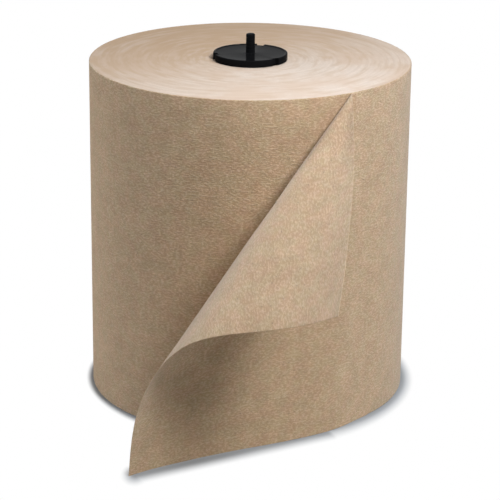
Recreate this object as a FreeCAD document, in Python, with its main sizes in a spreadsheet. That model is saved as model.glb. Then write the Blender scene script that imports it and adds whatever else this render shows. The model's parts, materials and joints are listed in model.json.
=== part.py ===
import FreeCAD, Part
import math
import os
import Sketcher

# Paper towel roll: the wound web with its loose, folded-over tail, a card core
# and a moulded plug in each end of the core.
# Z is the roll's axis, the lower end face lies on z = 0 and the front is -Y.

# Driving sizes in mm, turns in degrees
SIZES = [
    ("roll_height", 196.0),
    ("roll_radius", 93.0),
    ("paper_thickness", 0.4),
    ("core_bore_radius", 19.05),
    ("core_wall", 1.9),
    ("core_recess", 0.5),
    ("core_clearance", 0.05),
    ("ring_first_radius", 33.0),
    ("ring_spacing", 12.0),
    ("ring_width", 1.6),
    ("ring_depth", 0.45),
    ("peel_angle", 48.8),
    ("peel_run", 18.0),
    ("tail_length", 142.5),
    ("apex_rise", 3.0),
    ("lay_turn_angle", 47.2),
    ("lay_spread_angle", 6.5),
    ("fold_turn_angle", 138.3),
    ("fold_centre_angle", 49.0),
    ("fold_spread_angle", 11.5),
    ("lift_turn_angle", 31.9),
    ("lift_centre_angle", 73.0),
    ("lift_spread_angle", 6.5),
    ("corner_shift_left", 15.3),
    ("corner_shift_front", 2.3),
    ("corner_drop", 4.1),
    ("edge_bow", 2.7),
    ("bulge_left", 7.9),
    ("bulge_height", 121.5),
    ("bulge_spread", 31.4),
    ("flange_radius", 21.5),
    ("flange_thickness", 4.0),
    ("lip_width", 1.5),
    ("lip_height", 0.35),
    ("notch_depth", 2.5),
    ("notch_width", 4.6),
    ("notch_angle", 73.0),
    ("stub_radius", 2.6),
    ("stub_height", 11.3),
    ("stub_round", 0.8),
    ("pip_radius", 0.9),
    ("pip_height", 0.8),
    ("pip_offset", 4.4),
    ("barrel_clearance", 0.65),
    ("barrel_wall", 2.0),
    ("barrel_depth", 24.0),
    ("rib_width", 1.6),
    ("rib_clearance", 0.05),
    ("rib_root", 0.5),
    ("socket_radius", 2.8),
    ("socket_depth", 13.0),
    ("boss_radius", 6.0),
    ("boss_height", 15.0),
]
STEPS = 720  # steps along the path that the rulings follow

doc = FreeCAD.newDocument("PaperTowelRoll")
sheet = doc.addObject("Spreadsheet::Sheet", "Sizes")
for row, (alias, value) in enumerate(SIZES, start=1):
    sheet.set("A%d" % row, alias)
    sheet.set("B%d" % row, str(value))
    sheet.setAlias("B%d" % row, alias)
doc.recompute()


def size(alias):
    """The number in the sheet's cell."""
    return float(getattr(sheet, alias))


def total(*terms):
    """A sum of cells as a number and as an expression; a leading minus subtracts."""
    number = 0.0
    words = ""
    for term in terms:
        minus = term.startswith("-")
        alias = term.lstrip("-")
        number += -size(alias) if minus else size(alias)
        words += (" - " if minus else " + " if words else "") + "Sizes." + alias
    return number, words.strip()


def origin_plane(body, role):
    for feature in body.Origin.OriginFeatures:
        if feature.Role == role:
            return feature
    raise RuntimeError("no plane " + role)


def new_body(name, label):
    body = doc.addObject("PartDesign::Body", name)
    body.Label = label
    return body


def new_sketch(body, name, role):
    sketch = body.newObject("Sketcher::SketchObject", name)
    sketch.AttachmentSupport = [(origin_plane(body, role), "")]
    sketch.MapMode = "FlatFace"
    return sketch


def bind(sketch, constraint, words):
    """Add a constraint and tie its value to the sheet."""
    number = sketch.addConstraint(constraint)
    sketch.renameConstraint(number, "c%d" % number)
    sketch.setExpression("Constraints.c%d" % number, words)


def place_point(sketch, geometry, end, across, up):
    """Hold one end of a line at distances from the sketch's own axes."""
    for name, axis, value in (("DistanceX", -2, across), ("DistanceY", -1, up)):
        if value is None:
            sketch.addConstraint(Sketcher.Constraint("PointOnObject", geometry, end, axis))
        else:
            held = Sketcher.Constraint(name, -1, 1, geometry, end, value[0])
            bind(sketch, held, value[1])


def add_outline(sketch, corners):
    """A closed outline of straight lines; each corner is a pair of totals, or None for zero."""
    points = []
    for across, up in corners:
        x = across[0] if across else 0.0
        y = up[0] if up else 0.0
        points.append(FreeCAD.Vector(x, y, 0))
    first = sketch.GeometryCount
    count = len(points)
    for i in range(count):
        sketch.addGeometry(Part.LineSegment(points[i], points[(i + 1) % count]), False)
    for i in range(count):
        after = first + (i + 1) % count
        sketch.addConstraint(Sketcher.Constraint("Coincident", first + i, 2, after, 1))
    for i, (across, up) in enumerate(corners):
        place_point(sketch, first + i, 1, across, up)


def add_circle(sketch, radius, across=None, up=None):
    """A circle at the origin, or at the totals across and up."""
    x = across[0] if across else 0.0
    y = up[0] if up else 0.0
    circle = Part.Circle(FreeCAD.Vector(x, y, 0), FreeCAD.Vector(0, 0, 1), radius[0])
    number = sketch.addGeometry(circle, False)
    place_point(sketch, number, 3, across, up)
    bind(sketch, Sketcher.Constraint("Radius", number, radius[0]), radius[1])
    return number


def revolve(body, name, sketch, kind="PartDesign::Revolution"):
    feature = body.newObject(kind, name)
    feature.Profile = sketch
    feature.ReferenceAxis = (sketch, ["V_Axis"])
    feature.Angle = 360
    doc.recompute()
    return feature


def pad(body, name, sketch, words):
    feature = body.newObject("PartDesign::Pad", name)
    feature.Profile = sketch
    feature.setExpression("Length", words)
    doc.recompute()
    return feature


def polar_pattern(body, name, feature, sketch, count):
    pattern = body.newObject("PartDesign::PolarPattern", name)
    pattern.Originals = [feature]
    pattern.Axis = (sketch, ["N_Axis"])
    pattern.Angle = 360
    pattern.Occurrences = count
    body.Tip = pattern
    doc.recompute()
    return pattern


# Wound web: one outline whose last turn runs off along a tangent and ends where the tail begins
winding = new_body("Winding", "wound_web")
outline = new_sketch(winding, "WindingOutline", "XY_Plane")
peel = math.radians(size("peel_angle"))
roll_radius = size("roll_radius")
thickness = size("paper_thickness")
outward = FreeCAD.Vector(math.sin(peel), -math.cos(peel), 0)
along = FreeCAD.Vector(-math.cos(peel), -math.sin(peel), 0)
contact = outward * roll_radius
run_end = contact + along * size("peel_run")
run_inner = run_end - outward * thickness
# The web's inner side leaves the circle a little further along than its outer side
slip = math.sqrt(roll_radius ** 2 - (roll_radius - thickness) ** 2)
leave = contact - outward * thickness + along * slip
start_angle = math.atan2(contact.y, contact.x)
end_angle = math.atan2(leave.y, leave.x)
circle = Part.Circle(FreeCAD.Vector(0, 0, 0), FreeCAD.Vector(0, 0, 1), roll_radius)
outline.addGeometry(Part.ArcOfCircle(circle, start_angle, end_angle + 2 * math.pi), False)
outline.addGeometry(Part.LineSegment(contact, run_end), False)
outline.addGeometry(Part.LineSegment(run_end, run_inner), False)
outline.addGeometry(Part.LineSegment(run_inner, leave), False)
outline.addConstraint(Sketcher.Constraint("Coincident", 0, 3, -1, 1))
outline.addConstraint(Sketcher.Constraint("Tangent", 0, 1, 1, 1))
outline.addConstraint(Sketcher.Constraint("Coincident", 1, 2, 2, 1))
outline.addConstraint(Sketcher.Constraint("Perpendicular", 1, 2))
outline.addConstraint(Sketcher.Constraint("Coincident", 2, 2, 3, 1))
outline.addConstraint(Sketcher.Constraint("Parallel", 1, 3))
outline.addConstraint(Sketcher.Constraint("Coincident", 3, 2, 0, 2))
bind(outline, Sketcher.Constraint("Radius", 0, roll_radius), "Sizes.roll_radius")
bind(outline, Sketcher.Constraint("Distance", 1, size("peel_run")), "Sizes.peel_run")
bind(outline, Sketcher.Constraint("Distance", 2, thickness), "Sizes.paper_thickness")
bind(outline, Sketcher.Constraint("Angle", 1, peel - math.pi), "(Sizes.peel_angle - 180) * 1 deg")
add_circle(outline, total("core_bore_radius", "core_wall", "core_clearance"))
pad(winding, "Wind", outline, "Sizes.roll_height")

# Turns that stand a little back show as rings in both end faces
RINGS = 5
ring_sketch = new_sketch(winding, "EndRings", "XZ_Plane")
for i in range(RINGS):
    inner = size("ring_first_radius") + i * size("ring_spacing")
    words = "Sizes.ring_first_radius + %d * Sizes.ring_spacing" % i
    width = size("ring_width")
    low = (inner, words)
    middle = (inner + width / 2, words + " + Sizes.ring_width / 2")
    high = (inner + width, words + " + Sizes.ring_width")
    add_outline(ring_sketch, [
        (low, total("roll_height")),
        (middle, total("roll_height", "-ring_depth")),
        (high, total("roll_height")),
    ])
    if i % 2 == 0:
        add_outline(ring_sketch, [(low, None), (high, None), (middle, total("ring_depth"))])
before = winding.Shape.Volume
revolve(winding, "Rings", ring_sketch, "PartDesign::Groove")
if winding.Shape.Volume >= before:
    raise RuntimeError("the rings cut nothing")


def bend(angle):
    """Sideways bend of the tail per radian of ruling angle; below zero it folds outwards."""
    value = 0.0
    for turn, centre, spread in (
        (size("lay_turn_angle"), 0.0, size("lay_spread_angle")),
        (-size("fold_turn_angle"), size("fold_centre_angle"), size("fold_spread_angle")),
        (size("lift_turn_angle"), size("lift_centre_angle"), size("lift_spread_angle")),
    ):
        far = (math.degrees(angle) - centre) / spread
        value += turn / (spread * math.sqrt(2 * math.pi)) * math.exp(-0.5 * far * far)
    return value


def ruling_path():
    """Directions of the straight rulings that fan out from the apex, with the paper's normals.

    The tail is part of a cone in the wide sense. Each ruling makes its angle with the vertical
    in the flat sheet, so the sheet bends without stretching.
    """
    step = math.pi / 2 / STEPS
    ruling = FreeCAD.Vector(0, 0, -1)
    forward = FreeCAD.Vector(along)
    path = [(ruling, ruling.cross(forward))]
    for i in range(STEPS):
        side = bend((i + 0.5) * step)
        spin = ruling.cross(forward) + ruling * side
        turn = FreeCAD.Rotation(spin, math.degrees(spin.Length * step))
        ruling = turn.multVec(ruling)
        forward = turn.multVec(forward)
        path.append((ruling, ruling.cross(forward)))
    return path


path = ruling_path()
height = size("roll_height")
length = size("tail_length")
rise = size("apex_rise")
apex = run_end + FreeCAD.Vector(0, 0, height + rise)


def ruling_at(angle):
    place = min(angle / (math.pi / 2) * STEPS, STEPS - 1e-9)
    i = int(place)
    part = place - i
    direction = path[i][0] * (1 - part) + path[i + 1][0] * part
    normal = path[i][1] * (1 - part) + path[i + 1][1] * part
    return direction.normalize(), normal.normalize()


def tail_point(far, tall, depth):
    """A point of the tail: far along the web, tall up its width, depth towards the roll."""
    direction, normal = ruling_at(math.atan2(far, height + rise - tall))
    point = apex + direction * math.hypot(far, height + rise - tall) + normal * depth
    run = min(far / length, 1.0)
    top = (tall / height) ** 6
    bulge = math.exp(-((tall - size("bulge_height")) / size("bulge_spread")) ** 2)
    point.x -= size("corner_shift_left") * run ** 2 * top + size("bulge_left") * run ** 3 * bulge
    point.y -= size("corner_shift_front") * run ** 2 * top
    point.z -= size("corner_drop") * run ** 2 * top
    point.z += size("edge_bow") * 4 * run * (1 - run) * top
    return point


def stood(point, tall):
    """The lower edge stands on the floor, and the sheet above it follows."""
    point.z += foot_lift * (1 - tall / height) ** 4
    return point


foot_lift = 0.0
foot_lift = -tail_point(length, 0.0, 0.0).z

# Two fans of rulings: to the lower edge, then to the free end
FOOT_FANS = 14
END_FANS = 36
foot_far = [length * i / FOOT_FANS for i in range(FOOT_FANS + 1)]
shrink = (rise * 1.004 / (height + rise)) ** (1.0 / END_FANS)
end_drop = [(height + rise) * shrink ** i for i in range(END_FANS + 1)]


def curve(points):
    spline = Part.BSplineCurve()
    spline.interpolate(Points=points, Parameters=[float(i) for i in range(len(points))])
    return spline.toShape()


def floor_point(far, depth):
    point = tail_point(far, 0.0, depth)
    point.z = 0.0
    return point


def edges_of(depth):
    """Upper and lower edges of both fans at one depth in the paper."""
    tops, lows = [], []
    for far in foot_far:
        tops.append(tail_point(far * rise / (height + rise), height, depth))
        lows.append(floor_point(far, depth))
    foot = (curve(tops), curve(lows))
    tops, lows = [], []
    for drop in end_drop:
        tall = height + rise - drop
        tops.append(tail_point(length * rise / drop, height, depth))
        lows.append(stood(tail_point(length, tall, depth), tall))
    lows[0].z = 0.0
    return foot, (curve(tops), curve(lows))


outer_fans = edges_of(0.0)
inner_fans = edges_of(thickness)


def line_between(edge_a, edge_b, last):
    index = -1 if last else 0
    a = edge_a.Vertexes[index].Point
    b = edge_b.Vertexes[index].Point
    return Part.LineSegment(a, b).toShape()


faces = []
for outer, inner in zip(outer_fans, inner_fans):
    faces.append(Part.makeRuledSurface(outer[0], outer[1]))
    faces.append(Part.makeRuledSurface(inner[0], inner[1]))
    faces.append(Part.makeRuledSurface(outer[0], inner[0]))
    faces.append(Part.makeRuledSurface(outer[1], inner[1]))
for fan, last in ((0, False), (1, True)):
    outer, inner = outer_fans[fan], inner_fans[fan]
    outer_line = line_between(outer[0], outer[1], last)
    inner_line = line_between(inner[0], inner[1], last)
    faces.append(Part.makeRuledSurface(outer_line, inner_line))
shell = Part.makeShell(faces)
shell.sewShape()
tail_solid = Part.makeSolid(shell)
if tail_solid.Volume < 0:
    tail_solid.reverse()
tail = doc.addObject("Part::Feature", "Tail")
tail.Label = "loose_tail"
tail.Shape = tail_solid
tail.Placement = FreeCAD.Placement()

# Card core, set back a little from both ends of the winding
core = new_body("CoreTube", "core_tube")
core_sketch = new_sketch(core, "CoreProfile", "XZ_Plane")
core_inner = total("core_bore_radius")
core_outer = total("core_bore_radius", "core_wall")
core_low = total("core_recess")
core_high = total("roll_height", "-core_recess")
add_outline(core_sketch, [
    (core_inner, core_low),
    (core_outer, core_low),
    (core_outer, core_high),
    (core_inner, core_high),
])
revolve(core, "CoreWall", core_sketch)


def add_ribs(body, prefix, base_words, base_number, length_words):
    """Six crush ribs along the barrel that grip the core."""
    ribs = new_sketch(body, prefix + "RibOutline", "XY_Plane")
    ribs.AttachmentOffset = FreeCAD.Placement(FreeCAD.Vector(0, 0, base_number), FreeCAD.Rotation())
    ribs.setExpression(".AttachmentOffset.Base.z", base_words)
    root = total("core_bore_radius", "-barrel_clearance", "-rib_root")
    tip = total("core_bore_radius", "-rib_clearance")
    half = (size("rib_width") / 2, "Sizes.rib_width / 2")
    minus = (-size("rib_width") / 2, "-Sizes.rib_width / 2")
    add_outline(ribs, [(root, minus), (tip, minus), (tip, half), (root, half)])
    rib = pad(body, prefix + "Rib", ribs, length_words)
    polar_pattern(body, prefix + "Ribs", rib, ribs, 6)


# Upper plug: a flange on the winding, a hollow barrel in the core and a stub on top
plug = new_body("SpindlePlug", "spindle_plug")
plug_sketch = new_sketch(plug, "PlugProfile", "XZ_Plane")
deck = total("roll_height", "flange_thickness", "-lip_height")
lip_top = total("roll_height", "flange_thickness")
lip_inner = total("flange_radius", "-lip_width")
roof = total("roll_height", "-barrel_wall")
skirt_end = total("roll_height", "-barrel_depth")
barrel_outer = total("core_bore_radius", "-barrel_clearance")
barrel_inner = total("core_bore_radius", "-barrel_clearance", "-barrel_wall")
add_outline(plug_sketch, [
    (None, total("roll_height", "flange_thickness", "-lip_height", "stub_height")),
    (total("stub_radius"), total("roll_height", "flange_thickness", "-lip_height", "stub_height")),
    (total("stub_radius"), deck),
    (lip_inner, deck),
    (lip_inner, lip_top),
    (total("flange_radius"), lip_top),
    (total("flange_radius"), total("roll_height")),
    (barrel_outer, total("roll_height")),
    (barrel_outer, skirt_end),
    (barrel_inner, skirt_end),
    (barrel_inner, roof),
    (None, roof),
])
revolve(plug, "PlugBody", plug_sketch)
# Three notches in the flange's edge
notch_sketch = new_sketch(plug, "NotchOutline", "XY_Plane")
notch_root = total("flange_radius", "-notch_depth")
notch_tip = total("flange_radius", "lip_width")
half_notch = (size("notch_width") / 2, "Sizes.notch_width / 2")
minus_notch = (-size("notch_width") / 2, "-Sizes.notch_width / 2")
add_outline(notch_sketch, [
    (notch_root, minus_notch),
    (notch_tip, minus_notch),
    (notch_tip, half_notch),
    (notch_root, half_notch),
])
notch_sketch.setExpression(".AttachmentOffset.Rotation.Angle", "Sizes.notch_angle")
before = plug.Shape.Volume
notch = plug.newObject("PartDesign::Pocket", "Notch")
notch.Profile = notch_sketch
notch.Type = "ThroughAll"
notch.Reversed = True
doc.recompute()
polar_pattern(plug, "Notches", notch, notch_sketch, 3)
if plug.Shape.Volume >= before:
    raise RuntimeError("the notches cut nothing")
# A small moulding pip at the stub's foot
pip_sketch = new_sketch(plug, "PipOutline", "XY_Plane")
pip_sketch.setExpression(".AttachmentOffset.Base.z", deck[1])
add_circle(pip_sketch, total("pip_radius"), None, total("-pip_offset"))
pad(plug, "Pip", pip_sketch, "Sizes.pip_height")
add_ribs(plug, "Plug", skirt_end[1], skirt_end[0], "Sizes.barrel_depth - Sizes.rib_width")
# Rounded tip of the stub, on the highest edge
rim = []
highest = plug.Shape.BoundBox.ZMax
for number, edge in enumerate(plug.Shape.Edges, start=1):
    if edge.BoundBox.ZMin > highest - size("stub_round"):
        rim.append("Edge%d" % number)
ribbed = plug.Tip
stub_tip = plug.newObject("PartDesign::Fillet", "StubTip")
stub_tip.Base = (ribbed, rim)
stub_tip.setExpression("Radius", "Sizes.stub_round")
plug.Tip = stub_tip
doc.recompute()

# Lower plug: flush with the lower end, with a blind socket that a stub can enter
socket = new_body("SocketPlug", "socket_plug")
socket_sketch = new_sketch(socket, "SocketProfile", "XZ_Plane")
add_outline(socket_sketch, [
    (total("socket_radius"), None),
    (barrel_outer, None),
    (barrel_outer, total("barrel_depth")),
    (barrel_inner, total("barrel_depth")),
    (barrel_inner, total("barrel_wall")),
    (total("boss_radius"), total("barrel_wall")),
    (total("boss_radius"), total("boss_height")),
    (None, total("boss_height")),
    (None, total("socket_depth")),
    (total("socket_radius"), total("socket_depth")),
])
revolve(socket, "SocketBody", socket_sketch)
add_ribs(socket, "Socket", "Sizes.rib_width", size("rib_width"), "Sizes.barrel_depth - Sizes.rib_width")

doc.recompute()
sub_parts = [winding, tail, core, plug, socket]
for item in doc.Objects:
    if "Invalid" in item.State or "Error" in item.State:
        raise RuntimeError("%s failed: %s" % (item.Name, item.State))
for item in sub_parts:
    if item.Shape.isNull() or not item.Shape.isValid():
        raise RuntimeError("%s has no valid shape" % item.Label)
for item in sub_parts:
    if len(item.Shape.Solids) != 1:
        raise RuntimeError("%s has %d solids" % (item.Label, len(item.Shape.Solids)))

os.makedirs("parts", exist_ok=True)
for item in sub_parts:
    item.Shape.exportStep(os.path.join("parts", item.Label + ".step"))
    print(item.Label, round(item.Shape.Volume), item.Shape.BoundBox)
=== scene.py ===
import json
import math

import bmesh
import bpy
from mathutils import Matrix, Quaternion, Vector, noise

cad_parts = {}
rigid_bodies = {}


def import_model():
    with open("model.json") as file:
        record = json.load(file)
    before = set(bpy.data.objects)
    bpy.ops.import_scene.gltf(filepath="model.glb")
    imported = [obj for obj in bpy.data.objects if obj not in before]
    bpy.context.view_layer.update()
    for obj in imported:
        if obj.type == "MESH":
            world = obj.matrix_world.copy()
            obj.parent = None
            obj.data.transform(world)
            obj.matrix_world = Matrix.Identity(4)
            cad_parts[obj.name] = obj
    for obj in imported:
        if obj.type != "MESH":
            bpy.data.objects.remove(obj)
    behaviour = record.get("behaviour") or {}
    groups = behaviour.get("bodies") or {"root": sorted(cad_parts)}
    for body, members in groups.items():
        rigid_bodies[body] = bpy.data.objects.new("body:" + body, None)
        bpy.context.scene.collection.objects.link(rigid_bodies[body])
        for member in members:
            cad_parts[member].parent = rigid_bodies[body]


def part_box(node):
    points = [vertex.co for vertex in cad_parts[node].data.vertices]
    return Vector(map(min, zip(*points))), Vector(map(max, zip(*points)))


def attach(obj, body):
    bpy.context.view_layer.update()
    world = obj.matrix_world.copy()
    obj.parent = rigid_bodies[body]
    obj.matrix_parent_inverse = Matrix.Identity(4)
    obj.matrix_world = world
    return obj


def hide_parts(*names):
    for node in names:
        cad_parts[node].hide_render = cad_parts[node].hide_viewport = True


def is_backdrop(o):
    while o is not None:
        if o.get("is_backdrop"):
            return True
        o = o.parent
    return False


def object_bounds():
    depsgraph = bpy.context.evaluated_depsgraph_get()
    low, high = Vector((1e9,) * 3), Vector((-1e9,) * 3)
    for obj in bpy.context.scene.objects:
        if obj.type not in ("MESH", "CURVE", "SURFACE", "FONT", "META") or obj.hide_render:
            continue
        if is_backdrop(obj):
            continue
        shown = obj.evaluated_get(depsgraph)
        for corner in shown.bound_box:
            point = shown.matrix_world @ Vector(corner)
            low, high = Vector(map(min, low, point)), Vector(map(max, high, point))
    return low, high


bl_info = {
    "name": "Paper Towel Roll",
    "version": (1, 0, 0),
    "blender": (4, 5, 0),
    "location": "3D View > Sidebar > Towel Roll",
    "description": "A wound towel web with a folded-over tail on a plugged card core",
    "category": "Object",
}

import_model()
CAD_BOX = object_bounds()
WEB_LOW, WEB_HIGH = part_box("wound_web")
CORE_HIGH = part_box("core_tube")[1]
PLUG_LOW, PLUG_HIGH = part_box("spindle_plug")
SOCKET_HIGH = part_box("socket_plug")[1]

# The front of the roll faces -Y
FRONT = math.radians(-90)
# How strongly the painted light on the paper's crests and the painted shade in its hollows differ in
# tone
OUTER_CONTRAST = 0.17
INNER_CONTRAST = 0.14
EDGE_CONTRAST = 0.06
# The end faces: the smooth rim, how far the turns lie below it, how much they waver, and their grain
RIM_WIDTH = 0.0012
END_SINK = 0.0001
END_WAVER = 0.00005
END_GRAIN = 0.00008
# Ripples of the loose tail: where they start, the run over which they grow, and their depth
RIPPLE_FROM = 0.03
RIPPLE_RUN = 0.05
RIPPLE_DEPTH = 0.0005
# The upper plug's flange, stub and pip
FLANGE_THICKNESS = 0.0040
LIP_RISE = 0.00035
STUB_RADIUS = 0.0026
PIP_RADIUS = 0.0009
PIP_HEIGHT = 0.0008
PIP_OFFSET = 0.0044
# The three notches in the flange's edge: places, half width, slant of the sides, radius of the floor
NOTCH_ANGLES = [math.radians(73 + 120 * i) for i in range(3)]
NOTCH_HALF = math.radians(6.1)
NOTCH_EDGE = math.radians(1.0)
NOTCH_ROOT = 0.0190
# The plugs' barrels, and the ribs that hold them in the core
BARREL_RADIUS = 0.0184
BARREL_WALL = 0.002
RIB_COUNT = 6
RIB_REACH = 0.0190
RIB_HALF_WIDTH = 0.0008
# The lower plug's blind socket
SOCKET_RADIUS = 0.0028
SOCKET_DEPTH = 0.013
# The camera's sensor in millimetres, and the frame's width in pixels
SENSOR_WIDTH = 36.0
FRAME_WIDTH = 500.0


class TowelRollSizes(bpy.types.PropertyGroup):
    """Sizes of the roll and of its loose tail."""

    roll_height: bpy.props.FloatProperty(
        name="Roll height", description="Width of the web, and height of the standing roll",
        default=WEB_HIGH[2] - WEB_LOW[2], subtype="DISTANCE", unit="LENGTH")
    roll_radius: bpy.props.FloatProperty(
        name="Roll radius", description="Outer radius of the winding",
        default=WEB_HIGH[0], subtype="DISTANCE", unit="LENGTH")
    core_radius: bpy.props.FloatProperty(
        name="Core radius", description="Outer radius of the card core",
        default=CORE_HIGH[0], subtype="DISTANCE", unit="LENGTH")
    paper_thickness: bpy.props.FloatProperty(
        name="Paper thickness", description="Thickness of the loose web with its embossing",
        default=0.0003, subtype="DISTANCE", unit="LENGTH")
    peel_angle: bpy.props.FloatProperty(
        name="Peel angle", description="Where the tail leaves the roll, from the front towards +X",
        default=math.radians(48.8), subtype="ANGLE", unit="ROTATION")
    peel_run: bpy.props.FloatProperty(
        name="Peel run", description="Straight run of the web before it starts to bend",
        default=0.018, subtype="DISTANCE", unit="LENGTH")
    tail_length: bpy.props.FloatProperty(
        name="Tail length", description="Length of the bending part of the tail",
        default=0.1425, subtype="DISTANCE", unit="LENGTH")
    apex_rise: bpy.props.FloatProperty(
        name="Apex rise", description="Height above the top edge of the point the rulings fan out from",
        default=0.003, subtype="DISTANCE", unit="LENGTH")
    lay_turn: bpy.props.FloatProperty(
        name="Lay turn", description="Turn with which the web still follows the roll",
        default=math.radians(47.2), subtype="ANGLE", unit="ROTATION")
    lay_spread: bpy.props.FloatProperty(
        name="Lay spread", description="Spread of that turn over the fan",
        default=math.radians(6.5), subtype="ANGLE", unit="ROTATION")
    fold_turn: bpy.props.FloatProperty(
        name="Fold turn", description="Turn of the folded corner",
        default=math.radians(138.3), subtype="ANGLE", unit="ROTATION")
    fold_centre: bpy.props.FloatProperty(
        name="Fold centre", description="Ruling at the middle of the fold, from the vertical",
        default=math.radians(49.0), subtype="ANGLE", unit="ROTATION")
    fold_spread: bpy.props.FloatProperty(
        name="Fold spread", description="Spread of the fold over the fan",
        default=math.radians(11.5), subtype="ANGLE", unit="ROTATION")
    lift_turn: bpy.props.FloatProperty(
        name="Lift turn", description="Turn back near the upper edge of the folded corner",
        default=math.radians(31.9), subtype="ANGLE", unit="ROTATION")
    lift_centre: bpy.props.FloatProperty(
        name="Lift centre", description="Ruling at the middle of that turn",
        default=math.radians(73.0), subtype="ANGLE", unit="ROTATION")
    lift_spread: bpy.props.FloatProperty(
        name="Lift spread", description="Spread of that turn over the fan",
        default=math.radians(6.5), subtype="ANGLE", unit="ROTATION")
    corner_shift: bpy.props.FloatVectorProperty(
        name="Corner shift", description="How far the upper corner sags out of the plain cone",
        default=(-0.0153, -0.0023, -0.0041), subtype="TRANSLATION", unit="LENGTH")
    edge_bow: bpy.props.FloatProperty(
        name="Edge bow", description="Rise of the upper edge between its ends",
        default=0.0027, subtype="DISTANCE", unit="LENGTH")
    bulge_left: bpy.props.FloatProperty(
        name="Bulge", description="How far the free end bulges to the left past the fold",
        default=0.0079, subtype="DISTANCE", unit="LENGTH")
    bulge_height: bpy.props.FloatProperty(
        name="Bulge height", description="Place of the bulge across the web",
        default=0.1215, subtype="DISTANCE", unit="LENGTH")
    bulge_spread: bpy.props.FloatProperty(
        name="Bulge spread", description="Spread of the bulge across the web",
        default=0.0314, subtype="DISTANCE", unit="LENGTH")


class TowelRollFinish(bpy.types.PropertyGroup):
    """Colours and surface depths."""

    paper_colour: bpy.props.FloatVectorProperty(
        name="Paper", description="Unbleached towel paper, outer side",
        default=(0.553, 0.389, 0.251), subtype="COLOR", min=0.0, max=1.0)
    inner_colour: bpy.props.FloatVectorProperty(
        name="Inner side", description="Smoother inner side of the web",
        default=(0.548, 0.390, 0.262), subtype="COLOR", min=0.0, max=1.0)
    edge_colour: bpy.props.FloatVectorProperty(
        name="Wound edges", description="Cut edges of the turns in the end faces",
        default=(0.745, 0.635, 0.55), subtype="COLOR", min=0.0, max=1.0)
    card_colour: bpy.props.FloatVectorProperty(
        name="Card", description="Grey-brown card of the core",
        default=(0.36, 0.27, 0.19), subtype="COLOR", min=0.0, max=1.0)
    plug_colour: bpy.props.FloatVectorProperty(
        name="Plug", description="Black moulded plastic",
        default=(0.006, 0.006, 0.0065), subtype="COLOR", min=0.0, max=1.0)
    emboss_depth: bpy.props.FloatProperty(
        name="Emboss depth", description="Depth of the paper's embossing",
        default=0.00012, subtype="DISTANCE", unit="LENGTH")


class TowelRollStudio(bpy.types.PropertyGroup):
    """Camera and lights."""

    focal_px: bpy.props.FloatProperty(
        name="Focal length", description="Focal length in pixels of a frame 500 wide", default=2121.0)
    camera_back: bpy.props.FloatProperty(
        name="Camera distance", description="Distance of the camera in front of the axis",
        default=1.194, subtype="DISTANCE", unit="LENGTH")
    camera_height: bpy.props.FloatProperty(
        name="Camera height", description="Height of the camera above the floor",
        default=0.491, subtype="DISTANCE", unit="LENGTH")
    camera_yaw: bpy.props.FloatProperty(
        name="Camera yaw", description="Turn of the camera to the right",
        default=math.radians(0.05), subtype="ANGLE", unit="ROTATION")
    camera_pitch: bpy.props.FloatProperty(
        name="Camera pitch", description="Tilt of the camera below the horizon",
        default=math.radians(19.03), subtype="ANGLE", unit="ROTATION")
    camera_roll: bpy.props.FloatProperty(
        name="Camera roll", description="Roll of the camera about its view line",
        default=math.radians(0.64), subtype="ANGLE", unit="ROTATION")


def sizes():
    """The sizes that the sidebar shows."""
    return bpy.context.scene.towel_roll_sizes


def finish():
    """The colours and depths that the sidebar shows."""
    return bpy.context.scene.towel_roll_finish


def toned(colour, *factors):
    """A colour with its channels multiplied, all by one factor or each by its own."""
    if len(factors) == 1:
        factors = factors * 3
    return tuple(min(1.0, c * k) for c, k in zip(colour, factors))


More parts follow.
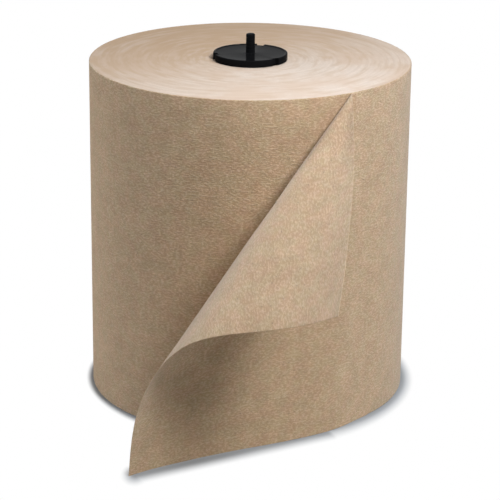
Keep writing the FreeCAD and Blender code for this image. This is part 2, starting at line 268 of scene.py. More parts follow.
class Shader:
    """A material's node tree with short calls for its nodes."""

    def __init__(self, name):
        self.material = bpy.data.materials.new(name)
        self.material.use_nodes = True
        self.tree = self.material.node_tree
        self.tree.nodes.clear()
        self.output = self.tree.nodes.new("ShaderNodeOutputMaterial")

    def node(self, kind, inputs=None, **settings):
        node = self.tree.nodes.new(kind)
        for key, value in settings.items():
            setattr(node, key, value)
        for key, value in (inputs or {}).items():
            if isinstance(value, bpy.types.NodeSocket):
                self.tree.links.new(value, node.inputs[key])
            else:
                node.inputs[key].default_value = value
        return node

    def math(self, operation, a, b=0.0, c=0.0):
        node = self.node("ShaderNodeMath", {0: a, 1: b, 2: c}, operation=operation)
        return node.outputs[0]

    def vector(self, operation, a, b=None, output="Vector"):
        inputs = {0: a} if b is None else {0: a, 1: b}
        return self.node("ShaderNodeVectorMath", inputs, operation=operation).outputs[output]

    def noise(self, vector, scale, detail, roughness):
        inputs = {"Vector": vector, "Scale": scale, "Detail": detail, "Roughness": roughness}
        return self.node("ShaderNodeTexNoise", inputs).outputs["Fac"]

    def rings(self, radius, scale, detail, roughness):
        """Noise that changes with the radius only."""
        inputs = {"W": radius, "Scale": scale, "Detail": detail, "Roughness": roughness}
        return self.node("ShaderNodeTexNoise", inputs, noise_dimensions="1D").outputs["Fac"]

    def ramp(self, value, low, high, to_low=0.0, to_high=1.0):
        inputs = {0: value, 1: low, 2: high, 3: to_low, 4: to_high}
        node = self.node("ShaderNodeMapRange", inputs, interpolation_type="SMOOTHSTEP")
        return node.outputs[0]

    def mix(self, factor, a, b, blend="MIX"):
        node = self.tree.nodes.new("ShaderNodeMix")
        node.data_type = "RGBA"
        node.blend_type = blend
        for socket, value in ((0, factor), (6, a), (7, b)):
            if isinstance(value, bpy.types.NodeSocket):
                self.tree.links.new(value, node.inputs[socket])
            elif socket == 0:
                node.inputs[socket].default_value = value
            else:
                node.inputs[socket].default_value = (*value[:3], 1.0)
        return node.outputs[2]

    def tinted(self, tone, factors):
        return self.mix(1.0, tone, factors, "MULTIPLY")

    def scaled(self, vector, scale):
        return self.node("ShaderNodeMapping", {"Vector": vector, "Scale": scale}).outputs[0]

    def bump(self, height, distance):
        inputs = {"Height": height, "Distance": distance, "Strength": 1.0}
        return self.node("ShaderNodeBump", inputs).outputs[0]

    def surface(self, **inputs):
        """The finished material, from the main shader's sockets with underscores for spaces."""
        names = {key.replace("_", " "): value for key, value in inputs.items()}
        shader = self.node("ShaderNodeBsdfPrincipled", names)
        self.tree.links.new(shader.outputs[0], self.output.inputs["Surface"])
        return self.material


def towel_paper(name, colour, depth, contrast):
    """Unbleached embossed towel paper. The web's own coordinates are metres in the UV map."""
    shader = Shader(name)
    web = shader.node("ShaderNodeUVMap", uv_map="web").outputs[0]
    millimetres = shader.scaled(web, (1000.0, 1000.0, 1000.0))
    # Embossed dashes that run along the web, over a finer felt of fibres
    bent = shader.noise(millimetres, 0.30, 1.0, 0.5)
    wander = shader.node("ShaderNodeCombineXYZ", {"Y": shader.math("MULTIPLY", bent, 0.8)}).outputs[0]
    place = shader.vector("ADD", millimetres, wander)
    dashes = shader.noise(shader.scaled(place, (0.52, 1.12, 1.0)), 1.0, 3.0, 0.65)
    fibres = shader.noise(shader.scaled(millimetres, (1.0, 1.7, 1.0)), 1.2, 3.0, 0.65)
    crepe = shader.noise(shader.scaled(millimetres, (0.10, 0.45, 1.0)), 1.0, 2.0, 0.5)
    clouds = shader.noise(millimetres, 0.045, 3.0, 0.55)
    hues = shader.noise(millimetres, 0.13, 1.0, 0.5)
    warmth = shader.noise(shader.scaled(millimetres, (0.8, 1.0, 1.0)), 0.31, 1.0, 0.5)
    mottle = shader.noise(millimetres, 0.11, 2.0, 0.6)
    crest = shader.ramp(dashes, 0.40, 0.68)
    height = shader.math("MULTIPLY_ADD", fibres, 0.9, crest)
    height = shader.math("MULTIPLY_ADD", crepe, 0.7, height)
    # Painted light and shade: the crests are painted paler and the hollows between them darker
    level = shader.ramp(height, 0.70, 1.85)
    hollow_shade = toned(colour, *(1.0 - contrast * k for k in (0.85, 1.05, 1.40)))
    light = toned(colour, *(1.0 + contrast * k for k in (0.80, 1.05, 1.50)))
    tone = shader.mix(level, hollow_shade, light)
    # Faint drifts of hue and tone
    pink = shader.tinted(tone, (1.025, 0.98, 0.98))
    olive = shader.tinted(tone, (0.98, 1.012, 0.985))
    tone = shader.mix(shader.ramp(hues, 0.34, 0.66), pink, olive)
    yellow = shader.tinted(tone, (1.0, 1.0, 0.955))
    tone = shader.mix(shader.ramp(warmth, 0.35, 0.65), tone, yellow)
    dull = shader.tinted(tone, (0.92, 0.915, 0.91))
    tone = shader.mix(shader.ramp(mottle, 0.35, 0.65), tone, dull)
    dull = shader.tinted(tone, (0.94, 0.93, 0.92))
    tone = shader.mix(shader.ramp(clouds, 0.35, 0.65), tone, dull)
    # Flecks of bark and bleached fibre
    fleck = shader.node("ShaderNodeTexVoronoi", {
        "Vector": shader.scaled(millimetres, (0.6, 0.9, 1.0)), "Scale": 0.5, "Randomness": 1.0},
        feature="F1", voronoi_dimensions="2D")
    chosen = shader.node("ShaderNodeSeparateColor", {0: fleck.outputs["Color"]})
    near = shader.ramp(fleck.outputs["Distance"], 0.10, 0.22, 1.0, 0.0)
    bark = shader.math("MULTIPLY", near, shader.ramp(chosen.outputs[0], 0.90, 0.94, 0.0, 0.40))
    tone = shader.mix(bark, tone, toned(colour, 0.40))
    pale = shader.math("MULTIPLY", near, shader.ramp(chosen.outputs[1], 0.84, 0.90, 0.0, 0.30))
    tone = shader.mix(pale, tone, toned(colour, 1.5))
    rough = shader.ramp(fibres, 0.3, 0.7, 0.95, 0.84)
    return shader.surface(
        Base_Color=tone, Roughness=rough, Specular_IOR_Level=0.14,
        Sheen_Weight=0.26, Sheen_Roughness=0.55, Normal=shader.bump(height, depth))


def outer_paper():
    """The outer side's paper, which the winding and the tail share."""
    f = finish()
    return bpy.data.materials.get("towel_outer") or towel_paper(
        "towel_outer", f.paper_colour, f.emboss_depth, OUTER_CONTRAST)


def wound_edges(name, colour, depth):
    """Cut edges of hundreds of turns: fine rings about the axis with small steps between them."""
    shader = Shader(name)
    place = shader.node("ShaderNodeTexCoord").outputs["Object"]
    parts = shader.node("ShaderNodeSeparateXYZ", {0: place})
    across = shader.math("MULTIPLY", parts.outputs[0], parts.outputs[0])
    along = shader.math("MULTIPLY", parts.outputs[1], parts.outputs[1])
    radius = shader.math("SQRT", shader.math("ADD", across, along))
    drift = shader.noise(place, 9.0, 2.0, 0.5)
    wander = shader.math("MULTIPLY_ADD", drift, 0.0012, radius)
    fine = shader.rings(wander, 2600.0, 2.0, 0.7)
    bands = shader.rings(wander, 520.0, 3.0, 0.6)
    broad = shader.rings(wander, 60.0, 1.0, 0.5)
    fuzz = shader.noise(place, 900.0, 3.0, 0.6)
    # Long faint streaks along the turns, and painted shade that makes the end faces browner towards the
    # back and the left
    east = shader.math("DIVIDE", parts.outputs[0], radius)
    north = shader.math("DIVIDE", parts.outputs[1], radius)
    polar = shader.node("ShaderNodeCombineXYZ", {
        0: east, 1: north, 2: shader.math("MULTIPLY", radius, 90.0)}).outputs[0]
    streaks = shader.noise(polar, 3.0, 3.0, 0.55)
    patches = shader.noise(place, 22.0, 4.0, 0.62)
    # Painted shade: how much browner the end faces are painted, most at the back and the left, least at
    # the front
    side = shader.math("MULTIPLY_ADD", north, 0.4, shader.math("MULTIPLY_ADD", east, -0.25, 0.58))
    side = shader.math("MULTIPLY", side, shader.ramp(streaks, 0.30, 0.62, 0.62, 1.0))
    height = shader.math("MULTIPLY_ADD", fine, 0.6, shader.math("MULTIPLY", bands, 0.4))
    height = shader.math("MULTIPLY_ADD", fuzz, 0.8, height)
    hollow_shade = toned(colour, 0.93, 0.91, 0.89)
    light = toned(colour, 1.025, 1.02, 1.015)
    shaded = toned(colour, 0.7)
    tan = toned(colour, 0.88, 0.81, 0.75)
    # Brown of the streaks, and of the painted shade towards the back and the left
    brown = toned(colour, 0.72, 0.595, 0.46)
    # Painted light and shade: lower bands of turns darker and higher ones paler, and painted shade in
    # the hollows of the fine rings and of the fuzz
    tone = shader.mix(shader.ramp(bands, 0.30, 0.70), hollow_shade, light)
    tone = shader.mix(shader.ramp(broad, 0.45, 0.75, 0.0, 0.40), tone, tan)
    tone = shader.mix(shader.ramp(fine, 0.28, 0.50, 0.10, 0.0), tone, shaded)
    tone = shader.mix(shader.ramp(fuzz, 0.35, 0.65, 0.24, 0.0), tone, shaded)
    tone = shader.mix(shader.ramp(patches, 0.42, 0.58), tone, tan)
    tone = shader.mix(shader.ramp(streaks, 0.48, 0.66, 0.0, 0.36), tone, brown)
    tone = shader.mix(side, tone, brown)
    return shader.surface(
        Base_Color=tone, Roughness=0.9, Specular_IOR_Level=0.12, Normal=shader.bump(height, depth))


def core_card(name, colour):
    """Spiral-wound card with a seam and a fibrous surface."""
    shader = Shader(name)
    place = shader.node("ShaderNodeTexCoord").outputs["Object"]
    parts = shader.node("ShaderNodeSeparateXYZ", {0: place})
    turn = shader.math("ARCTAN2", parts.outputs[1], parts.outputs[0])
    turn = shader.math("MULTIPLY", turn, 1 / (2 * math.pi))
    spiral = shader.math("MULTIPLY_ADD", parts.outputs[2], 14.0, turn)
    seam = shader.ramp(shader.math("PINGPONG", spiral, 0.5), 0.0, 0.02, 1.0, 0.0)
    fibres = shader.noise(shader.scaled(place, (1.0, 1.0, 0.4)), 1500.0, 4.0, 0.6)
    clouds = shader.noise(place, 120.0, 3.0, 0.5)
    tone = shader.mix(fibres, toned(colour, 0.85), toned(colour, 1.15))
    tone = shader.mix(shader.math("MULTIPLY", clouds, 0.3), tone, toned(colour, 0.75))
    tone = shader.mix(shader.math("MULTIPLY", seam, 0.6), tone, toned(colour, 0.45))
    height = shader.math("SUBTRACT", fibres, seam)
    return shader.surface(
        Base_Color=tone, Roughness=0.85, Specular_IOR_Level=0.2, Normal=shader.bump(height, 0.0001))


def plug_plastic(name, colour):
    """Black moulded plastic, glossy with faint flow marks, dust and fine scuffs."""
    shader = Shader(name)
    place = shader.node("ShaderNodeTexCoord").outputs["Object"]
    grain = shader.noise(place, 2600.0, 2.0, 0.5)
    flow = shader.noise(shader.scaled(place, (1.0, 1.0, 3.0)), 60.0, 3.0, 0.5)
    scuff = shader.noise(shader.scaled(place, (1.0, 6.0, 1.0)), 300.0, 4.0, 0.7)
    rough = shader.ramp(flow, 0.3, 0.7, 0.10, 0.16)
    rough = shader.math("ADD", rough, shader.ramp(scuff, 0.55, 0.8, 0.0, 0.12))
    dusty = tuple(c * 1.6 + 0.001 for c in colour)
    tone = shader.mix(shader.ramp(scuff, 0.55, 0.85, 0.0, 0.6), colour, dusty)
    height = shader.math("ADD", shader.math("MULTIPLY", grain, 0.4), flow)
    return shader.surface(
        Base_Color=tone, Roughness=rough, Specular_IOR_Level=0.008, IOR=1.38,
        Normal=shader.bump(height, 0.00003))


def black_plastic():
    """The plastic that both plugs share."""
    return bpy.data.materials.get("plug_plastic") or plug_plastic("plug_plastic", finish().plug_colour)


def mesh_piece(name, points, faces, materials, slots=None, uvs=None):
    """A mesh object from points and faces, with a material slot and a web coordinate for each."""
    mesh = bpy.data.meshes.new(name)
    mesh.from_pydata([tuple(p) for p in points], [], faces)
    for material in materials:
        mesh.materials.append(material)
    if slots:
        mesh.polygons.foreach_set("material_index", slots)
    if uvs:
        layer = mesh.uv_layers.new(name="web")
        flat = []
        for loop in mesh.loops:
            flat.extend(uvs[loop.vertex_index])
        layer.data.foreach_set("uv", flat)
    mesh.polygons.foreach_set("use_smooth", [True] * len(mesh.polygons))
    mesh.validate()
    mesh.update()
    piece = bpy.data.objects.new(name, mesh)
    bpy.context.scene.collection.objects.link(piece)
    return piece


def grid_faces(columns, rows, start=0, flip=False):
    """Quads between neighbouring columns of points that are stored one column after another."""
    faces = []
    for i in range(columns - 1):
        a, b = start + i * rows, start + (i + 1) * rows
        for k in range(rows - 1):
            quad = (a + k, b + k, b + k + 1, a + k + 1)
            faces.append(tuple(reversed(quad)) if flip else quad)
    return faces


def turn_height(radius):
    """Small steps between bands of turns, in metres, from the radius."""
    coarse = noise.noise((radius * 240.0, 3.1, 0.0))
    mid = noise.noise((radius * 700.0, 9.7, 0.0))
    return 0.00012 * coarse + 0.00005 * mid


LOWER_END, WALL, UPPER_END = range(3)


def roll_section(height, radius, bore):
    """Half section of the winding: out over the lower end, up the wall and in over the upper end."""
    rounding = 0.0005
    end_rows, wall_rows, arc_rows = 64, 26, 4
    inset = radius - rounding
    quarter = [math.radians(90) * k / arc_rows for k in range(arc_rows + 1)]
    section = [(bore + (inset - bore) * k / end_rows, 0.0, LOWER_END) for k in range(end_rows + 1)]
    for a in quarter[1:]:
        section.append((inset + rounding * math.sin(a), rounding * (1 - math.cos(a)), WALL))
    for k in range(1, wall_rows):
        section.append((radius, rounding + (height - 2 * rounding) * k / wall_rows, WALL))
    for a in quarter:
        section.append((inset + rounding * math.cos(a), height - rounding * (1 - math.sin(a)), WALL))
    for k in range(1, end_rows + 1):
        section.append((inset - (inset - bore) * k / end_rows, height, UPPER_END))
    return section


class TOWEL_OT_wound_roll(bpy.types.Operator):
    """Build the wound web: the embossed last turn and the ringed end faces"""

    bl_idname = "towel.wound_roll"
    bl_label = "Wound Roll"

    def execute(self, context):
        s = sizes()
        section = roll_section(s.roll_height, s.roll_radius, s.core_radius)
        columns = 360
        rows = len(section)
        points, uvs = [], []
        for i in range(columns + 1):
            # The seam of the web coordinate lies in the crease behind the tail
            turn = 2 * math.pi * i / columns
            angle = FRONT + s.peel_angle + turn
            east, north = math.cos(angle), math.sin(angle)
            for across, up, part in section:
                z = up
                if part == UPPER_END and across < s.roll_radius - RIM_WIDTH:
                    waver = noise.noise((east * 2.0, north * 2.0, across * 30.0))
                    z += turn_height(across) + END_WAVER * waver - END_SINK
                points.append((across * east, across * north, z))
                uvs.append((-s.roll_radius * turn, up))
        faces = grid_faces(columns + 1, rows)
        slots = []
        for i in range(columns):
            for k in range(rows - 1):
                wall = section[k][2] == WALL and section[k + 1][2] == WALL
                slots.append(0 if wall else 1)
        # The bore's wall closes the section
        for i in range(columns):
            a, b = i * rows, (i + 1) * rows
            faces.append((a + rows - 1, b + rows - 1, b, a))
            slots.append(1)
        rings = wound_edges("wound_edges", finish().edge_colour, END_GRAIN)
        piece = mesh_piece("wound_roll", points, faces, [outer_paper(), rings], slots, uvs)
        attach(piece, "root")
        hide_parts("wound_web")
        return {"FINISHED"}


def fold_bend(s, angle):
    """Sideways bend of the tail per radian of ruling angle; below zero it folds outwards."""
    value = 0.0
    for turn, centre, spread in (
        (s.lay_turn, 0.0, s.lay_spread),
        (-s.fold_turn, s.fold_centre, s.fold_spread),
        (s.lift_turn, s.lift_centre, s.lift_spread),
    ):
        bell = math.exp(-0.5 * ((angle - centre) / spread) ** 2)
        value += turn / (spread * math.sqrt(2 * math.pi)) * bell
    return value


class TailShape:
    """The loose tail as a fan of straight rulings from an apex over the top edge."""

    STEPS = 720

    def __init__(self, s):
        self.s = s
        self.outward = Vector((math.sin(s.peel_angle), -math.cos(s.peel_angle), 0))
        self.along = Vector((-math.cos(s.peel_angle), -math.sin(s.peel_angle), 0))
        self.contact = self.outward * s.roll_radius
        run_end = self.contact + self.along * s.peel_run
        self.apex = run_end + Vector((0, 0, s.roll_height + s.apex_rise))
        step = math.pi / 2 / self.STEPS
        ruling, forward = Vector((0, 0, -1)), self.along.copy()
        self.path = [(ruling.copy(), ruling.cross(forward))]
        for i in range(self.STEPS):
            spin = ruling.cross(forward) + ruling * fold_bend(s, (i + 0.5) * step)
            turn = Quaternion(spin, spin.length * step)
            ruling, forward = turn @ ruling, turn @ forward
            self.path.append((ruling.copy(), ruling.cross(forward)))
        self.foot_lift = -self.point(s.tail_length, 0.0)[0].z

    def ruling_at(self, angle):
        """Direction and normal of the ruling at an angle from the vertical."""
        place = min(angle / (math.pi / 2) * self.STEPS, self.STEPS - 1e-9)
        i = int(place)
        direction = self.path[i][0].lerp(self.path[i + 1][0], place - i)
        normal = self.path[i][1].lerp(self.path[i + 1][1], place - i)
        return direction.normalized(), normal.normalized()

    def point(self, far, tall):
        """A point of the tail and the normal that faces the roll there."""
        s = self.s
        drop = s.roll_height + s.apex_rise - tall
        direction, normal = self.ruling_at(math.atan2(far, drop))
        point = self.apex + direction * math.hypot(far, drop)
        run = min(far / s.tail_length, 1.0)
        top = (tall / s.roll_height) ** 6
        bulge = math.exp(-((tall - s.bulge_height) / s.bulge_spread) ** 2)
        point += Vector(s.corner_shift) * (run ** 2 * top)
        point.x -= s.bulge_left * run ** 3 * bulge
        point.z += s.edge_bow * 4 * run * (1 - run) * top
        return point, normal

    def columns(self, run_columns=10, foot_columns=60, end_columns=170):
        """Each ruling as (upper point, lower point, upper web place, lower web place, normal)."""
        s = self.s
        full = s.roll_height + s.apex_rise
        for i in range(run_columns):
            back = s.peel_run * (i / run_columns)
            base = self.contact + self.along * back
            top = base + Vector((0, 0, s.roll_height))
            yield top, base, (back, s.roll_height), (back, 0.0), -self.outward
        for i in range(foot_columns + 1):
            far = s.tail_length * i / foot_columns
            top_far = far * s.apex_rise / full
            top, normal = self.point(top_far, s.roll_height)
            low = self.point(far, 0.0)[0]
            low.z = 0.0
            yield top, low, (s.peel_run + top_far, s.roll_height), (s.peel_run + far, 0.0), normal
        # The last ruling stops just short of the upper corner
        shrink = (s.apex_rise * 1.004 / full) ** (1.0 / end_columns)
        for i in range(1, end_columns + 1):
            drop = full * shrink ** i
            top_far, tall = s.tail_length * s.apex_rise / drop, full - drop
            top, normal = self.point(top_far, s.roll_height)
            low = self.point(s.tail_length, tall)[0]
            low.z += self.foot_lift * (1 - tall / s.roll_height) ** 4
            top_web = (s.peel_run + top_far, s.roll_height)
            yield top, low, top_web, (s.peel_run + s.tail_length, tall), normal


class TOWEL_OT_loose_tail(bpy.types.Operator):
    """Build the loose tail, with its own thickness and its upper corner folded over"""

    bl_idname = "towel.loose_tail"
    bl_label = "Loose Tail"

    def execute(self, context):
        s, f = sizes(), finish()
        rows = 64
        strips = list(TailShape(s).columns())
        outer, inner, uvs = [], [], []
        for top, low, top_web, low_web, normal in strips:
            for k in range(rows + 1):
                part = k / rows
                web = tuple(a + (b - a) * part for a, b in zip(top_web, low_web))
                # Soft ripples that fade out where the paper is held
                free = min(1.0, max(0.0, (web[0] - RIPPLE_FROM) / RIPPLE_RUN))
                ripple = noise.noise((web[0] * 38.0, web[1] * 22.0, 1.7)) * RIPPLE_DEPTH * free
                point = top.lerp(low, part) + normal * ripple
                point.z = max(point.z, 0.0)
                outer.append(point)
                inner.append(point + normal * s.paper_thickness)
                uvs.append(web)
        count, stride, total = len(strips), rows + 1, len(outer)
        faces = grid_faces(count, stride)
        slots = [0] * len(faces)
        back = grid_faces(count, stride, start=total, flip=True)
        faces += back
        slots += [1] * len(back)
        # Once round the rim, to close the paper's thickness
        rim = [i * stride for i in range(count)]
        rim += [(count - 1) * stride + k for k in range(1, stride)]
        rim += [i * stride + rows for i in range(count - 2, -1, -1)]
        rim += range(rows - 1, 0, -1)
        for a, b in zip(rim, rim[1:] + rim[:1]):
            faces.append((a, a + total, b + total, b))
            slots.append(2)
        papers = [
            outer_paper(),
            towel_paper("towel_inner", f.inner_colour, f.emboss_depth * 0.8, INNER_CONTRAST),
            towel_paper("towel_cut_edge", toned(f.inner_colour, 1.25), 0.0001, EDGE_CONTRAST),
        ]
        piece = mesh_piece("loose_tail_sheet", outer + inner, faces, papers, slots, uvs + uvs)
        mark_rim(piece)
        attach(piece, "root")
        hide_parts("loose_tail")
        return {"FINISHED"}


def mark_rim(piece):
    """Sharp edges round the rim, so that both sides of the paper stay smooth up to it."""
    mesh = piece.data
    rim = {tuple(sorted(edge)) for polygon in mesh.polygons if polygon.material_index == 2
           for edge in polygon.edge_keys}
    for edge in mesh.edges:
        if tuple(sorted(edge.vertices)) in rim:
            edge.use_edge_sharp = True


class TOWEL_OT_card_core(bpy.types.Operator):
    """Finish the card core as spiral-wound card"""

    bl_idname = "towel.card_core"
    bl_label = "Card Core"

    def execute(self, context):
        card = core_card("core_card", finish().card_colour)
        paint_node("core_tube", card)
        return {"FINISHED"}


def paint_node(node, material):
    """Give a node that is carried over from the solids its material."""
    for item in bpy.data.objects:
        if item.type == "MESH" and item.name == node:
            item.data.materials.clear()
            item.data.materials.append(material)
            return
    raise RuntimeError("no node " + node)


def rounded(corners, steps=4):
    """A half section with its corners rounded; each corner is (across, up, radius)."""
    path = []
    for i, (across, up, radius) in enumerate(corners):
        here = Vector((across, up))
        if radius <= 0 or i in (0, len(corners) - 1):
            path.append((across, up))
            continue
        before = Vector(corners[i - 1][:2]) - here
        after = Vector(corners[i + 1][:2]) - here
        reach = min(radius, before.length * 0.45, after.length * 0.45)
        a, b = here + before.normalized() * reach, here + after.normalized() * reach
        for k in range(steps + 1):
            t = k / steps
            point = a * (1 - t) ** 2 + here * 2 * t * (1 - t) + b * t ** 2
            path.append((point.x, point.y))
    return path


def lathe(section, angles, shape=None):
    """Points and faces of a half section turned about Z; the ends on the axis are single points."""
    points, rings = [], []
    for across, up in section:
        if across < 1e-7:
            rings.append([len(points)])
            points.append((0.0, 0.0, up))
            continue
        ring = []
        for angle in angles:
            r, z = shape(across, up, angle) if shape else (across, up)
            ring.append(len(points))
            points.append((r * math.cos(angle), r * math.sin(angle), z))
        rings.append(ring)
    faces = []
    count = len(angles)
    for a, b in zip(rings, rings[1:]):
        for i in range(count):
            j = (i + 1) % count
            if len(a) == 1 and len(b) > 1:
                faces.append((a[0], b[i], b[j]))
            elif len(b) == 1 and len(a) > 1:
                faces.append((a[i], b[0], a[j]))
            elif len(a) > 1:
                faces.append((a[i], b[i], b[j], a[j]))
    return points, faces


def even_angles(count):
    return [2 * math.pi * i / count for i in range(count)]


def add_ribs(points, faces, low, high):
    """Add the ribs round a barrel, as small blocks between two heights."""
    inner = BARREL_RADIUS - 0.0005
    half = RIB_HALF_WIDTH
    for rib in range(RIB_COUNT):
        angle = 2 * math.pi * rib / RIB_COUNT
        first = len(points)
        for z in (low, high):
            for x, y in ((inner, -half), (RIB_REACH, -half), (RIB_REACH, half), (inner, half)):
                east = x * math.cos(angle) - y * math.sin(angle)
                points.append((east, x * math.sin(angle) + y * math.cos(angle), z))
        for quad in ((3, 2, 1, 0), (4, 5, 6, 7), (0, 1, 5, 4), (1, 2, 6, 5), (2, 3, 7, 6), (3, 0, 4, 7)):
            faces.append(tuple(first + i for i in quad))


def turned_angles():
    """Even steps round the plug, with more of them at the notches' corners."""
    angles = even_angles(180)
    for centre in NOTCH_ANGLES:
        for side in (-1, 1):
            for off in (-0.9, -0.6, -0.3, 0.0, 0.3, 0.6, 0.9):
                angles.append((centre + side * (NOTCH_HALF + math.radians(off))) % (2 * math.pi))
    return sorted(set(round(a, 6) for a in angles))


def notched(across, up, angle, deck):
    """Pull the flange's edge in at its three notches."""
    if across <= NOTCH_ROOT:
        return across, up
    for centre in NOTCH_ANGLES:
        off = abs((angle - centre + math.pi) % (2 * math.pi) - math.pi)
        t = min(1.0, max(0.0, (NOTCH_HALF + NOTCH_EDGE / 2 - off) / NOTCH_EDGE))
        t = t * t * (3 - 2 * t)
        if t > 0:
            return across + (NOTCH_ROOT - across) * t, up + (min(up, deck) - up) * t
    return across, up


class TOWEL_OT_spindle_plug(bpy.types.Operator):
    """Build the upper plug: notched flange with a raised lip, banded stub and ribbed barrel"""

    bl_idname = "towel.spindle_plug"
    bl_label = "Spindle Plug"

    def execute(self, context):
        flange, top, foot = PLUG_HIGH[0], PLUG_HIGH[2], PLUG_LOW[2]
        base = sizes().roll_height
        lip = base + FLANGE_THICKNESS
        deck = lip - LIP_RISE
        stub = STUB_RADIUS
        bore = BARREL_RADIUS - BARREL_WALL
        corners = [(0.0, top, 0), (stub, top, 0.0009)]
        # Faint bands moulded round the stub
        for k in range(4):
            band = top - 0.0022 - 0.0021 * k
            corners += [(stub, band, 0.0001), (stub - 0.00016, band - 0.0003, 0.0001),
                        (stub, band - 0.0006, 0.0001)]
        corners += [
            (stub, deck + 0.0004, 0.0003), (stub + 0.0005, deck, 0.0003),
            (flange - 0.0017, deck, 0.0004), (flange - 0.0013, lip, 0.0002),
            (flange, lip, 0.0006), (flange, base + 0.0001, 0.0003),
            (flange - 0.0004, base + 0.00005, 0.0002), (BARREL_RADIUS, base + 0.00005, 0.0001),
            (BARREL_RADIUS, foot, 0.0004), (bore, foot, 0.0004),
            (bore, base - 0.002, 0.0006), (0.0, base - 0.002, 0),
        ]
        points, faces = lathe(rounded(corners), turned_angles(), lambda r, z, a: notched(r, z, a, deck))
        add_ribs(points, faces, foot, base - 0.0016)
        # The small pip in front of the stub
        crown = deck + PIP_HEIGHT
        pip = [(0.0, crown, 0), (PIP_RADIUS, crown, 0.0004), (PIP_RADIUS + 0.0002, deck - 0.0001, 0)]
        pip_points, pip_faces = lathe(rounded(pip), even_angles(24))
        first = len(points)
        points += [(x, y - PIP_OFFSET, z) for x, y, z in pip_points]
        faces += [tuple(first + i for i in face) for face in pip_faces]
        piece = mesh_piece("spindle_plug_moulding", points, faces, [black_plastic()])
        soften(piece)
        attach(piece, "root")
        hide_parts("spindle_plug")
        return {"FINISHED"}


class TOWEL_OT_socket_plug(bpy.types.Operator):
    """Build the lower plug: a flush cap with a blind socket and a ribbed barrel"""

    bl_idname = "towel.socket_plug"
    bl_label = "Socket Plug"

    def execute(self, context):
        head = SOCKET_HIGH[2]
        bore = BARREL_RADIUS - BARREL_WALL
        corners = [
            (0.0, 0.015, 0), (0.006, 0.015, 0.0006), (0.006, 0.002, 0.0005),
            (bore, 0.002, 0.0005), (bore, head, 0.0004),
            (BARREL_RADIUS, head, 0.0004), (BARREL_RADIUS, 0.0, 0.0005),
            (SOCKET_RADIUS, 0.0, 0.0003), (SOCKET_RADIUS, SOCKET_DEPTH, 0.0002), (0.0, SOCKET_DEPTH, 0),
        ]
        points, faces = lathe(rounded(corners), even_angles(160))
        add_ribs(points, faces, 0.0016, head - 0.0001)
        piece = mesh_piece("socket_plug_moulding", points, faces, [black_plastic()])
        soften(piece)
        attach(piece, "root")
        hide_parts("socket_plug")
        return {"FINISHED"}


def soften(piece):
    """Outward normals and a crisp split between faces that meet at a steep angle."""
    mesh = piece.data
    work = bmesh.new()
    work.from_mesh(mesh)
    bmesh.ops.recalc_face_normals(work, faces=work.faces)
    for edge in work.edges:
        if len(edge.link_faces) == 2 and edge.calc_face_angle() > math.radians(50):
            edge.smooth = False
    work.to_mesh(mesh)
    work.free()


def area_light(name, azimuth, elevation, distance, size, power, colour, target=(0.0, -0.02, 0.09)):
    """A square soft box; azimuth counts from the front towards +X."""
    data = bpy.data.lights.new(name, "AREA")
    data.shape = "SQUARE"
    data.size = size
    data.energy = power
    data.color = colour
    light = bpy.data.objects.new(name, data)
    bpy.context.scene.collection.objects.link(light)
    a, e = math.radians(azimuth), math.radians(elevation)
    aim = Vector(target)
    towards = Vector((math.sin(a) * math.cos(e), -math.cos(a) * math.cos(e), math.sin(e)))
    light.location = aim + distance * towards
    light.rotation_euler = (aim - light.location).to_track_quat("-Z", "Y").to_euler()
    return light


def studio_floor(name, foot_from, foot_to, radius):
    """A matt floor. The eye and mirrors see it white, with the object's shadow close round its foot."""
    shader = Shader(name)
    place = shader.node("ShaderNodeNewGeometry").outputs["Position"]
    path = shader.node("ShaderNodeLightPath")
    seen = shader.math("MAXIMUM", path.outputs["Is Camera Ray"], path.outputs["Is Glossy Ray"])
    seen = shader.math("MAXIMUM", seen, path.outputs["Is Transmission Ray"])
    # Distance from the foot of the roll and from the foot of the loose tail
    roll = shader.vector("LENGTH", place, output="Value")
    parts = shader.node("ShaderNodeSeparateXYZ", {0: place})
    # The roll's shadow is narrower at its sides than in front and behind
    side = shader.math("DIVIDE", parts.outputs[0], roll)
    side = shader.math("MULTIPLY_ADD", side, shader.math("MULTIPLY_ADD", side, 3.0, -1.4), 1.7)
    roll = shader.math("MULTIPLY", shader.math("SUBTRACT", roll, radius), side)
    run = foot_to - foot_from
    offset = shader.vector("SUBTRACT", place, foot_from)
    share = shader.vector("DOT_PRODUCT", offset, run / run.length_squared, output="Value")
    share = shader.node("ShaderNodeClamp", {0: share}).outputs[0]
    nearest = shader.node("ShaderNodeVectorMath", {0: run, "Scale": share}, operation="SCALE").outputs[0]
    gap = shader.scaled(shader.vector("SUBTRACT", offset, nearest), (3.2, 1.7, 1.7))
    away = shader.math("MINIMUM", roll, shader.vector("LENGTH", gap, output="Value"))
    # The shadow is deepest at the foot, and the floor fades to white beyond it
    shade = shader.mix(shader.ramp(away, 0.0, 0.014), (0.26, 0.275, 0.295), (0.42, 0.445, 0.475))
    tint = shader.mix(seen, (0.48, 0.47, 0.44), shade)
    matt = shader.node("ShaderNodeBsdfDiffuse", {"Color": tint, "Roughness": 0.0})
    faint = shader.math("MULTIPLY", seen, 0.08)
    lift = shader.node("ShaderNodeEmission", {"Color": (1, 1, 1, 1), "Strength": faint})
    near = shader.node("ShaderNodeAddShader", {0: matt.outputs[0], 1: lift.outputs[0]})
    white = shader.node("ShaderNodeEmission", {"Color": (1, 1, 1, 1), "Strength": 1.0})
    far = shader.math("MULTIPLY", shader.ramp(away, 0.004, 0.028), seen)
    mixed = shader.node("ShaderNodeMixShader", {0: far, 1: near.outputs[0], 2: white.outputs[0]})
    shader.tree.links.new(mixed.outputs[0], shader.output.inputs["Surface"])
    return shader.material


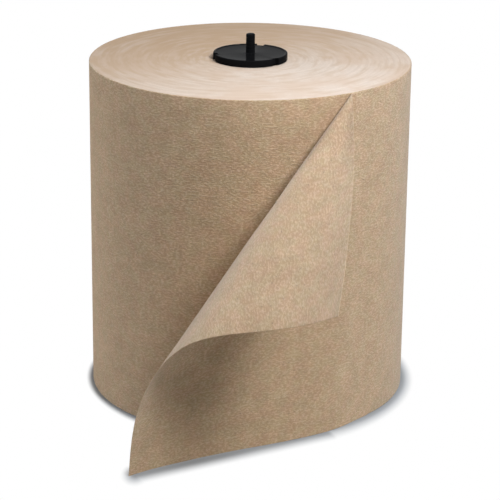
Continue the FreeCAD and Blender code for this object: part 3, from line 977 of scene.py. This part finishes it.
def pale_room():
    """A world that lights the object only faintly, and that the eye and mirrors see white."""
    world = bpy.data.worlds.new("pale_room")
    world.use_nodes = True
    nodes, links = world.node_tree.nodes, world.node_tree.links
    nodes.clear()
    path = nodes.new("ShaderNodeLightPath")
    seen = path.outputs["Is Camera Ray"]
    for ray in ("Is Glossy Ray", "Is Transmission Ray"):
        either = nodes.new("ShaderNodeMath")
        either.operation = "MAXIMUM"
        links.new(seen, either.inputs[0])
        links.new(path.outputs[ray], either.inputs[1])
        seen = either.outputs[0]
    level = nodes.new("ShaderNodeMapRange")
    level.inputs[3].default_value = 0.03
    level.inputs[4].default_value = 1.0
    links.new(seen, level.inputs[0])
    glow = nodes.new("ShaderNodeBackground")
    glow.inputs["Color"].default_value = (1, 1, 1, 1)
    links.new(level.outputs[0], glow.inputs["Strength"])
    result = nodes.new("ShaderNodeOutputWorld")
    links.new(glow.outputs[0], result.inputs["Surface"])
    return world


def studio_camera(studio):
    """The camera, placed from its distance and height and turned by its yaw, pitch and roll."""
    data = bpy.data.cameras.new("camera")
    data.sensor_width = SENSOR_WIDTH
    data.lens = studio.focal_px * SENSOR_WIDTH / FRAME_WIDTH
    camera = bpy.data.objects.new("camera", data)
    bpy.context.scene.collection.objects.link(camera)
    yaw, pitch, roll = studio.camera_yaw, studio.camera_pitch, studio.camera_roll
    view = Vector((math.sin(yaw) * math.cos(pitch), math.cos(yaw) * math.cos(pitch), -math.sin(pitch)))
    level = Vector((math.cos(yaw), -math.sin(yaw), 0.0))
    upright = level.cross(view)
    right = level * math.cos(roll) + upright * math.sin(roll)
    up = upright * math.cos(roll) - level * math.sin(roll)
    turn = Matrix((right, up, -view)).transposed().to_4x4()
    camera.matrix_world = Matrix.Translation((0.0, -studio.camera_back, studio.camera_height)) @ turn
    return camera


class TOWEL_OT_stage(bpy.types.Operator):
    """Set the floor, the lights, the world and the camera"""

    bl_idname = "towel.stage"
    bl_label = "Stage"

    def execute(self, context):
        scene = context.scene
        s = sizes()
        mesh = bpy.data.meshes.new("studio_floor")
        reach = 6.0
        corners = [(-reach, -reach, 0), (reach, -reach, 0), (reach, reach, 0), (-reach, reach, 0)]
        mesh.from_pydata(corners, [], [(0, 1, 2, 3)])
        # A straight line from near the tail's free corner to near its root stands for its foot
        shape = TailShape(s)
        foot_from, foot_to = (shape.point(s.tail_length * share, 0.0)[0] for share in (0.97, 0.12))
        mesh.materials.append(studio_floor("studio_floor", foot_from, foot_to, s.roll_radius))
        floor = bpy.data.objects.new("studio_floor", mesh)
        floor.location.z = -0.0002
        scene.collection.objects.link(floor)
        floor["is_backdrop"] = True
        # Azimuth, elevation, distance, size, power and colour, and an aim where it isn't the usual one
        area_light("key_soft_box", 40, 46, 1.3, 0.37, 13.8, (0.95, 0.98, 1.0))
        low_right = area_light("right_soft_box", 94, 4, 1.3, 0.4, 3.2, (0.82, 0.90, 1.0))
        low_left = area_light("left_soft_box", -100, 6, 1.3, 0.4, 10.8, (0.89, 0.94, 1.0))
        area_light("rear_soft_box", 175, 50, 1.2, 0.5, 1.4, (1.0, 0.96, 0.92))
        area_light("near_soft_box", 24, 66, 0.26, 0.12, 0.50, (0.84, 0.91, 1.0), (0.02, -0.08, 0.196))
        # The low side lights would fill the plug's flat deck with their mirror image
        low_right.visible_glossy = False
        low_left.visible_glossy = False
        scene.world = pale_room()
        scene.view_settings.view_transform = "Standard"
        scene.camera = studio_camera(scene.towel_roll_studio)
        return {"FINISHED"}


class TOWEL_PT_panel(bpy.types.Panel):
    """Steps of the roll, in order"""

    bl_idname = "TOWEL_PT_panel"
    bl_label = "Towel Roll"
    bl_space_type = "VIEW_3D"
    bl_region_type = "UI"
    bl_category = "Towel Roll"

    def draw(self, context):
        scene = context.scene
        column = self.layout.column(align=True)
        for step in STEPS:
            column.operator(step.bl_idname)
        for group in (scene.towel_roll_sizes, scene.towel_roll_finish, scene.towel_roll_studio):
            box = self.layout.box()
            for name in group.__annotations__:
                box.prop(group, name)


STEPS = (
    TOWEL_OT_stage,
    TOWEL_OT_wound_roll,
    TOWEL_OT_loose_tail,
    TOWEL_OT_card_core,
    TOWEL_OT_spindle_plug,
    TOWEL_OT_socket_plug,
)
GROUPS = (TowelRollSizes, TowelRollFinish, TowelRollStudio)


def register():
    for item in GROUPS + STEPS + (TOWEL_PT_panel,):
        bpy.utils.register_class(item)
    bpy.types.Scene.towel_roll_sizes = bpy.props.PointerProperty(type=TowelRollSizes)
    bpy.types.Scene.towel_roll_finish = bpy.props.PointerProperty(type=TowelRollFinish)
    bpy.types.Scene.towel_roll_studio = bpy.props.PointerProperty(type=TowelRollStudio)


def unregister():
    del bpy.types.Scene.towel_roll_studio
    del bpy.types.Scene.towel_roll_finish
    del bpy.types.Scene.towel_roll_sizes
    for item in reversed(GROUPS + STEPS + (TOWEL_PT_panel,)):
        bpy.utils.unregister_class(item)


def main():
    register()
    bpy.ops.towel.stage()
    bpy.ops.towel.wound_roll()
    bpy.ops.towel.loose_tail()
    bpy.ops.towel.card_core()
    bpy.ops.towel.spindle_plug()
    bpy.ops.towel.socket_plug()
    boxes = {"cad": CAD_BOX, "visual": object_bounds()}
    plain = {name: [[float(v) for v in corner] for corner in box] for name, box in boxes.items()}


if __name__ == "__main__":
    main()
